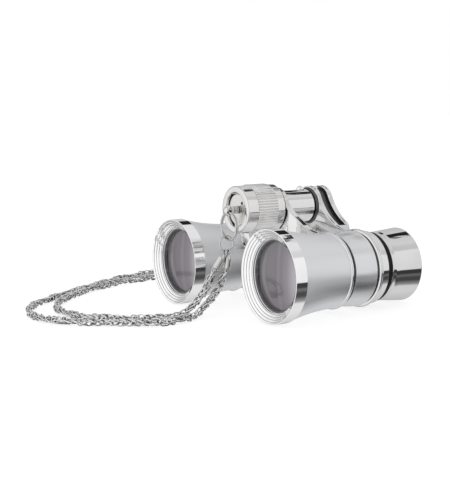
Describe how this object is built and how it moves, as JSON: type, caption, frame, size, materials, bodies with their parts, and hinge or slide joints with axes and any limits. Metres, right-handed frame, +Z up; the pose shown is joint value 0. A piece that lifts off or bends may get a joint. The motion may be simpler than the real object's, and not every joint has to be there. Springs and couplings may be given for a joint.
{
  "type": "opera glasses",
  "caption": "Galilean opera glasses: satin cone barrels, chrome bezels, swan-neck bridges, central focusing knob and a rope hand chain.",
  "frame": {"origin": "centre of the front face of the focusing knob's plug, on the focusing axis", "axes": "+X is the user's left, +Y runs along the optical axes from the objectives to the eyes, +Z is up"},
  "size_m": [0.1548, 0.1111, 0.05],
  "materials": {
    "bright_chrome": "polished chrome plate",
    "knurled_chrome": "chrome plate over straight knurling",
    "satin_silver": "fine satin",
    "black_lacquer": "satin black",
    "coated_glass": "coated, faint pink-violet tint",
    "eye_glass": "clear polished",
    "turned_steel": "fine turned",
    "ring_steel": "polished wire",
    "chain_links": "bright rope chain of fine links"
  },
  "bodies": {
    "front_half": {"front_bridge": "bright_chrome", "cone_left": "satin_silver", "cone_right": "satin_silver", "objective_bezel_left": "bright_chrome", "objective_bezel_right": "bright_chrome", "objective_lens_left": "coated_glass", "objective_lens_right": "coated_glass", "lens_retainer_left": "black_lacquer", "lens_retainer_right": "black_lacquer", "draw_tube_left": "turned_steel", "draw_tube_right": "turned_steel", "center_tube": "bright_chrome", "guide_screw": "bright_chrome", "knob_washer": "black_lacquer"},
    "knob": {"lead_screw": "turned_steel", "focus_drum": "knurled_chrome", "knob_cap": "bright_chrome", "knob_plug": "bright_chrome"},
    "rear_half": {"rear_bridge": "bright_chrome", "tube_gap_ring": "black_lacquer", "guide_sleeve": "turned_steel", "clamp_screw": "bright_chrome", "hub_cover": "bright_chrome", "eyecup_left": "bright_chrome", "eyecup_right": "bright_chrome", "gap_ring_left": "black_lacquer", "gap_ring_right": "black_lacquer", "ocular_cell_left": "black_lacquer", "ocular_cell_right": "black_lacquer", "eye_lens_left": "eye_glass", "eye_lens_right": "eye_glass", "eye_lens_retainer_left": "black_lacquer", "eye_lens_retainer_right": "black_lacquer"},
    "swivel_eye": {"swivel_eye": "ring_steel"},
    "split_ring": {"split_ring": "ring_steel"},
    "jump_ring": {"jump_ring": "ring_steel"},
    "chain_cap_a": {"chain_cap_a": "ring_steel"},
    "chain_cap_b": {"chain_cap_b": "ring_steel"},
    "strand_a_1": {"strand_a_1": "chain_links"},
    "strand_a_2": {"strand_a_2": "chain_links"},
    "strand_a_3": {"strand_a_3": "chain_links"},
    "strand_a_4": {"strand_a_4": "chain_links"},
    "strand_b_1": {"strand_b_1": "chain_links"},
    "strand_b_2": {"strand_b_2": "chain_links"},
    "strand_b_3": {"strand_b_3": "chain_links"},
    "strand_b_4": {"strand_b_4": "chain_links"},
    "strand_b_5": {"strand_b_5": "chain_links"}
  },
  "joints": [
    {"name": "knob_turn", "type": "hinge", "parent": "front_half", "child": "knob", "pos_m": [0, 0, 0], "axis": [0, 1, 0], "range_deg": [0, 360]},
    {"name": "focus_slide", "type": "slide", "parent": "front_half", "child": "rear_half", "axis": [0, 1, 0], "range_m": [0, 0.006]},
    {"name": "eye_swivel", "type": "hinge", "parent": "front_half", "child": "swivel_eye", "pos_m": [0, 0, 0], "axis": [0, 1, 0], "range_deg": [-25, 15]},
    {"name": "ring_swing", "type": "hinge", "parent": "swivel_eye", "child": "split_ring", "pos_m": [0, -0.0044, -0.00081], "axis": [1, 0, 0], "range_deg": [-35, 0]},
    {"name": "jump_ring_swing", "type": "hinge", "parent": "split_ring", "child": "jump_ring", "pos_m": [-0.0012, -0.0044, -0.01044], "axis": [1, 0, 0], "range_deg": [-25, 0]},
    {"name": "cap_a_swing", "type": "hinge", "parent": "jump_ring", "child": "chain_cap_a", "pos_m": [-0.0012, -0.0052, -0.01509], "axis": [0, 1, 0], "range_deg": [0, 12]},
    {"name": "cap_b_swing", "type": "hinge", "parent": "jump_ring", "child": "chain_cap_b", "pos_m": [-0.0012, -0.0036, -0.01509], "axis": [0, 1, 0], "range_deg": [-12, 0]},
    {"name": "strand_a_lift_1", "type": "hinge", "parent": "chain_cap_a", "child": "strand_a_1", "pos_m": [-0.0026, -0.0086, -0.0213], "axis": [-1, 0, 0], "range_deg": [0, 5]},
    {"name": "strand_a_lift_2", "type": "hinge", "parent": "strand_a_1", "child": "strand_a_2", "pos_m": [-0.0045, -0.0273, -0.03746], "axis": [0, 1, 0], "range_deg": [0, 15]},
    {"name": "strand_a_lift_3", "type": "hinge", "parent": "strand_a_2", "child": "strand_a_3", "pos_m": [-0.034, -0.0483, -0.03862], "axis": [0, 1, 0], "range_deg": [0, 15]},
    {"name": "strand_a_lift_4", "type": "hinge", "parent": "strand_a_3", "child": "strand_a_4", "pos_m": [-0.0883, -0.0188, -0.03698], "axis": [0.94, 0.3412, 0], "range_deg": [0, 20]},
    {"name": "strand_b_lift_1", "type": "hinge", "parent": "chain_cap_b", "child": "strand_b_1", "pos_m": [-0.0025, -0.0037, -0.0215], "axis": [-1, 0, 0], "range_deg": [0, 5]},
    {"name": "strand_b_lift_2", "type": "hinge", "parent": "strand_b_1", "child": "strand_b_2", "pos_m": [0.0014, -0.0205, -0.03708], "axis": [-1, 0, 0], "range_deg": [0, 15]},
    {"name": "strand_b_lift_3", "type": "hinge", "parent": "strand_b_2", "child": "strand_b_3", "pos_m": [-0.0256, -0.0546, -0.03897], "axis": [0, 1, 0], "range_deg": [0, 15]},
    {"name": "strand_b_lift_4", "type": "hinge", "parent": "strand_b_3", "child": "strand_b_4", "pos_m": [-0.076, -0.0473, -0.03857], "axis": [0.86, 0.5103, 0], "range_deg": [0, 15]},
    {"name": "strand_b_lift_5", "type": "hinge", "parent": "strand_b_4", "child": "strand_b_5", "pos_m": [-0.1045, 0.0097, -0.0354], "axis": [1, 0, 0], "range_deg": [0, 20]}
  ],
  "couplings": [
    {"joint": "knob_turn", "follows": "focus_slide", "rad_per_m": 1047.2}
  ]
}
